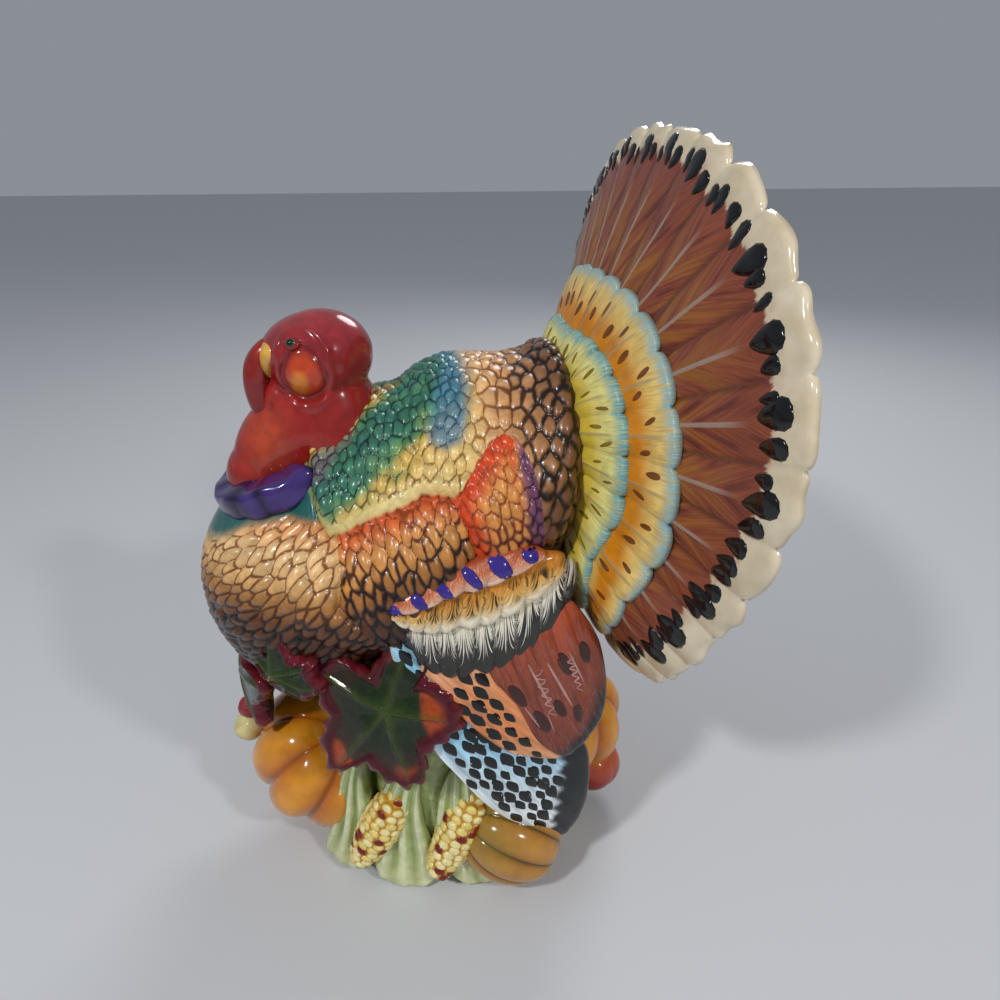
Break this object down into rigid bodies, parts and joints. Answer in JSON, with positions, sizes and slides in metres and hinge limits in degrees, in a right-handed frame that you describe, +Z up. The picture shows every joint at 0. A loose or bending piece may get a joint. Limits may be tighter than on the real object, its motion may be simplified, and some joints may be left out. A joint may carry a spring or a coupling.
{
  "type": "ceramic turkey figure",
  "caption": "Glazed ceramic turkey with a raised tail fan, standing on a mound of pumpkins, maize and leaves.",
  "frame": {"origin": "on the ground, at the middle of the figure's side view, on the flat foot of the mound", "axes": "+Z up, the bird faces -Y, its left side is +X"},
  "size_m": [0.2612, 0.2004, 0.3288],
  "materials": {
    "tan_glaze": "gloss",
    "earth_glaze": "gloss",
    "crimson_glaze": "gloss",
    "dark_red_glaze": "gloss",
    "ochre_glaze": "gloss",
    "purple_glaze": "gloss",
    "red_brown_glaze": "gloss",
    "orange_glaze": "gloss",
    "yellow_glaze": "gloss",
    "cream_glaze": "gloss",
    "salmon_glaze": "gloss",
    "pale_blue_glaze": "gloss",
    "amber_glaze": "gloss",
    "sage_glaze": "gloss",
    "burgundy_glaze": "gloss"
  },
  "bodies": {
    "root": {"body": "tan_glaze", "base_mound": "earth_glaze", "head": "crimson_glaze", "snood": "dark_red_glaze", "beak": "ochre_glaze", "neck_ruff": "purple_glaze", "inner_tail_coverts": "yellow_glaze", "outer_tail_coverts": "orange_glaze", "tail_fan": "red_brown_glaze", "left_big_leaf": "burgundy_glaze", "right_big_leaf": "burgundy_glaze", "left_breast_leaf": "burgundy_glaze", "right_breast_leaf": "burgundy_glaze", "front_leaf": "burgundy_glaze", "left_wing_shoulder_row": "salmon_glaze", "right_wing_shoulder_row": "salmon_glaze", "left_wing_speckled_row": "ochre_glaze", "right_wing_speckled_row": "ochre_glaze", "left_wing_fringed_row": "cream_glaze", "right_wing_fringed_row": "cream_glaze", "left_wing_brown_quills": "red_brown_glaze", "right_wing_brown_quills": "red_brown_glaze", "left_wing_salmon_quills": "salmon_glaze", "right_wing_salmon_quills": "salmon_glaze", "left_wing_blue_quills": "pale_blue_glaze", "right_wing_blue_quills": "pale_blue_glaze", "front_pumpkin": "amber_glaze", "rear_pumpkin": "amber_glaze", "left_gourd": "ochre_glaze", "right_gourd": "ochre_glaze", "front_apple": "crimson_glaze", "rear_apple": "crimson_glaze", "left_front_cob": "yellow_glaze", "right_front_cob": "yellow_glaze", "left_rear_cob": "yellow_glaze", "right_rear_cob": "yellow_glaze", "left_front_husk": "sage_glaze", "right_front_husk": "sage_glaze", "left_middle_husk": "sage_glaze", "right_middle_husk": "sage_glaze", "left_rear_husk": "sage_glaze", "right_rear_husk": "sage_glaze"}
  },
  "joints": []
}
